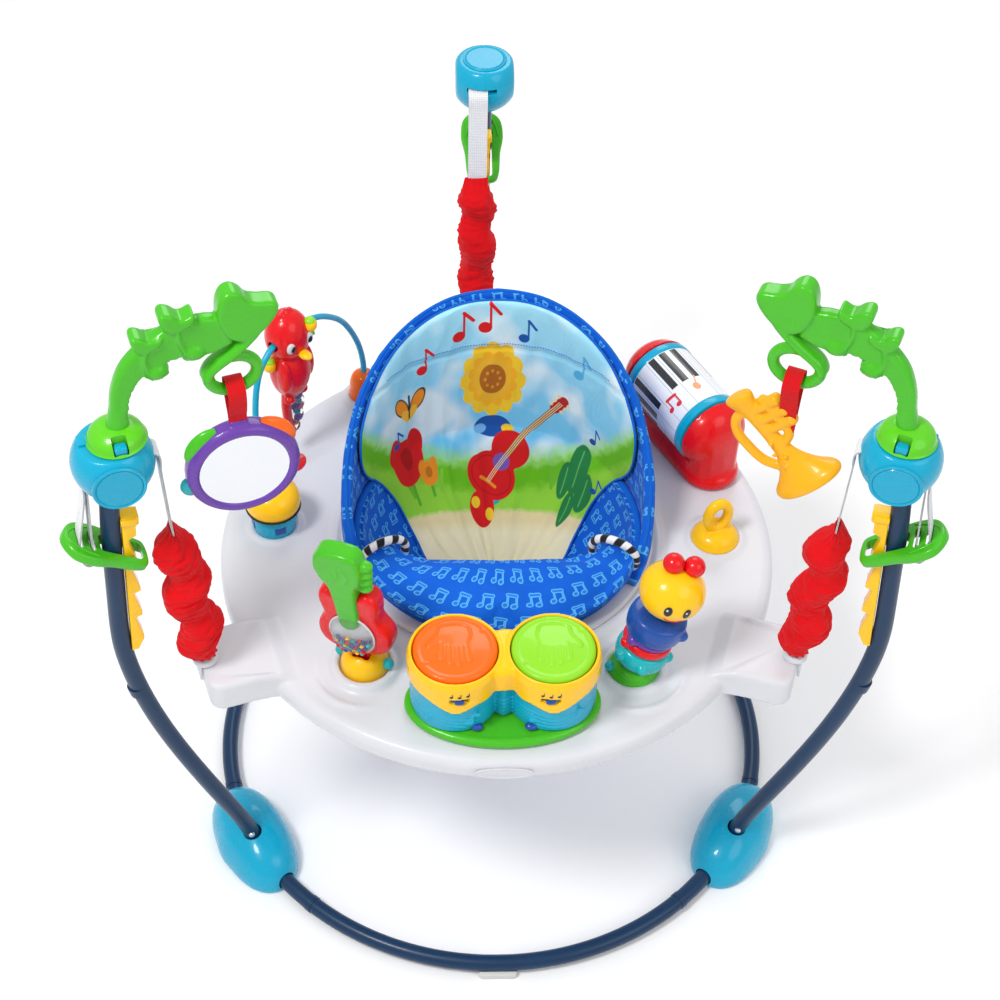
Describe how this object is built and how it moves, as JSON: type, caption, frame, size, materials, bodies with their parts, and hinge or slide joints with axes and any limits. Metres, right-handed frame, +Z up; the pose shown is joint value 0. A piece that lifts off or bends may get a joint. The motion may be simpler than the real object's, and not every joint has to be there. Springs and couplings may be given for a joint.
{
  "type": "bouncer seat",
  "caption": "Spring-suspended baby activity seat on a round steel floor ring with strap hubs, a toy tray, a fabric seat that turns, and hanging toys.",
  "frame": {"origin": "centre of the bounding box in plan, on the floor", "axes": "+Z up; the child sits facing -Y; +X to the right seen from the front"},
  "size_m": [0.8604, 0.8292, 0.881],
  "materials": {
    "navy_tube": "glossy navy powder coat on steel tube",
    "cyan_plastic": "glossy moulded plastic",
    "green_plastic": "glossy moulded plastic",
    "lime_plastic": "glossy moulded plastic",
    "yellow_plastic": "glossy moulded plastic",
    "orange_plastic": "glossy moulded plastic",
    "red_plastic": "glossy moulded plastic",
    "purple_plastic": "glossy moulded plastic",
    "white_plastic": "glossy moulded plastic",
    "black_plastic": "glossy moulded plastic",
    "clear_plastic": "clear moulded plastic",
    "mirror_film": "silvered safety mirror",
    "webbing": "white waffle-woven webbing",
    "red_fabric": "brushed red fabric",
    "blue_fabric": "royal blue fabric with light blue note pattern",
    "print_fabric": "printed fabric with a meadow picture",
    "spring_steel": "bare spring wire"
  },
  "bodies": {
    "frame": {"foot_left": "cyan_plastic", "post_left": "navy_tube", "hub_left": "cyan_plastic", "hub_cover_left": "cyan_plastic", "strap_outer_left": "webbing", "rack_left": "yellow_plastic", "toy_arm_left": "green_plastic", "foot_right": "cyan_plastic", "post_right": "navy_tube", "hub_right": "cyan_plastic", "hub_cover_right": "cyan_plastic", "strap_outer_right": "webbing", "rack_right": "yellow_plastic", "toy_arm_right": "green_plastic", "foot_rear": "cyan_plastic", "post_rear": "navy_tube", "hub_rear": "cyan_plastic", "strap_outer_rear": "webbing", "rack_rear": "yellow_plastic", "base_tube_front": "navy_tube", "base_tube_right": "navy_tube", "base_tube_left": "navy_tube", "floor_pad": "white_plastic"},
    "carriage": {"strap_inner_left": "webbing", "spring_cover_left": "red_fabric", "spring_left": "spring_steel", "strap_inner_right": "webbing", "spring_cover_right": "red_fabric", "spring_right": "spring_steel", "strap_inner_rear": "webbing", "spring_cover_rear": "red_fabric", "spring_rear": "spring_steel"},
    "adjuster_left": {"adjuster_left": "green_plastic"},
    "adjuster_right": {"adjuster_right": "green_plastic"},
    "adjuster_rear": {"adjuster_rear": "green_plastic"},
    "tray": {"tray": "white_plastic", "drum_base": "green_plastic", "drum_body": "yellow_plastic", "piano_base": "red_plastic", "guitar_base": "orange_plastic", "bug_stand": "yellow_plastic", "bead_arch": "cyan_plastic"},
    "seat": {"seat_ring": "white_plastic", "seat_back": "print_fabric", "seat_bolster": "blue_fabric", "seat_sling": "blue_fabric"},
    "drum_pad_left": {"drum_pad_left": "orange_plastic"},
    "drum_pad_right": {"drum_pad_right": "lime_plastic"},
    "volume_switch": {"volume_switch": "black_plastic"},
    "mode_switch": {"mode_switch": "black_plastic"},
    "piano_roller": {"piano_roller": "white_plastic"},
    "guitar": {"guitar_toy": "red_plastic"},
    "bug_rings": {"bug_rings": "cyan_plastic"},
    "loop_toy": {"loop_toy": "yellow_plastic"},
    "spinner_toy": {"spinner_toy": "cyan_plastic"},
    "bird": {"bird_toy": "red_plastic"},
    "mirror": {"mirror_toy": "purple_plastic"},
    "trumpet": {"trumpet_toy": "yellow_plastic"}
  },
  "joints": [
    {"name": "height_adjust", "type": "slide", "parent": "frame", "child": "carriage", "axis": [0, 0, 1], "range_m": [-0.025, 0.045], "deforming": ["strap_inner_left", "strap_inner_right", "strap_inner_rear"]},
    {"name": "adjuster_slide_left", "type": "slide", "parent": "frame", "child": "adjuster_left", "axis": [0.0597, 0.0194, 0.998], "range_m": [-0.0225, 0.0125], "deforming": ["strap_outer_left"]},
    {"name": "adjuster_slide_right", "type": "slide", "parent": "frame", "child": "adjuster_right", "axis": [-0.0597, 0.0194, 0.998], "range_m": [-0.0225, 0.0125], "deforming": ["strap_outer_right"]},
    {"name": "adjuster_slide_rear", "type": "slide", "parent": "frame", "child": "adjuster_rear", "axis": [0.0018, -0.0628, 0.998], "range_m": [-0.0225, 0.0125], "deforming": ["strap_outer_rear"]},
    {"name": "tray_bounce", "type": "slide", "parent": "carriage", "child": "tray", "axis": [0, 0, 1], "range_m": [-0.08, 0], "stiffness_N_per_m": 1200, "springref_m": 0.06, "deforming": ["spring_left", "spring_right", "spring_rear", "spring_cover_left", "spring_cover_right", "spring_cover_rear"]},
    {"name": "seat_spin", "type": "hinge", "parent": "tray", "child": "seat", "pos_m": [0, -0.06255, 0.38], "axis": [0, 0, 1], "continuous": true},
    {"name": "pad_press_left", "type": "slide", "parent": "tray", "child": "drum_pad_left", "axis": [0, 0, 1], "range_m": [-0.002, 0], "stiffness_N_per_m": 1500, "springref_m": 0.002},
    {"name": "pad_press_right", "type": "slide", "parent": "tray", "child": "drum_pad_right", "axis": [0, 0, 1], "range_m": [-0.002, 0], "stiffness_N_per_m": 1500, "springref_m": 0.002},
    {"name": "volume_slide", "type": "slide", "parent": "tray", "child": "volume_switch", "axis": [1, 0, 0], "range_m": [-0.004, 0.004]},
    {"name": "mode_slide", "type": "slide", "parent": "tray", "child": "mode_switch", "axis": [1, 0, 0], "range_m": [-0.004, 0.004]},
    {"name": "piano_spin", "type": "hinge", "parent": "tray", "child": "piano_roller", "pos_m": [0.2205, 0.08745, 0.44], "axis": [-0.4741, 0.8805, 0], "continuous": true},
    {"name": "guitar_rock", "type": "hinge", "parent": "tray", "child": "guitar", "pos_m": [-0.145, -0.25255, 0.396], "axis": [0.9272, -0.3746, 0], "range_deg": [-6, 15], "stiffness_Nm_per_rad": 1.5},
    {"name": "bug_spin", "type": "hinge", "parent": "tray", "child": "bug_rings", "pos_m": [0.14, -0.25855, 0.3764], "axis": [0.2419, 0, 0.9703], "continuous": true},
    {"name": "loop_spin", "type": "hinge", "parent": "tray", "child": "loop_toy", "pos_m": [0.247, -0.07055, 0.39], "axis": [0, 0, 1], "continuous": true},
    {"name": "spinner_spin", "type": "hinge", "parent": "tray", "child": "spinner_toy", "pos_m": [-0.252, -0.04855, 0.4], "axis": [0, 0, 1], "continuous": true},
    {"name": "bird_swing", "type": "hinge", "parent": "tray", "child": "bird", "pos_m": [-0.23273, 0.06199, 0.565], "axis": [0.5878, 0.809, 0], "range_deg": [-35, 35]},
    {"name": "mirror_swing", "type": "hinge", "parent": "frame", "child": "mirror", "pos_m": [-0.25379, -0.23402, 0.7615], "axis": [-0.9511, -0.309, 0], "range_deg": [-40, 40]},
    {"name": "trumpet_swing", "type": "hinge", "parent": "frame", "child": "trumpet", "pos_m": [0.26564, -0.22545, 0.7615], "axis": [0.9135, -0.4067, 0], "range_deg": [-40, 40]}
  ],
  "couplings": [
    {"joint": "adjuster_slide_left", "follows": "height_adjust", "ratio": -0.5},
    {"joint": "adjuster_slide_right", "follows": "height_adjust", "ratio": -0.5},
    {"joint": "adjuster_slide_rear", "follows": "height_adjust", "ratio": -0.5}
  ]
}
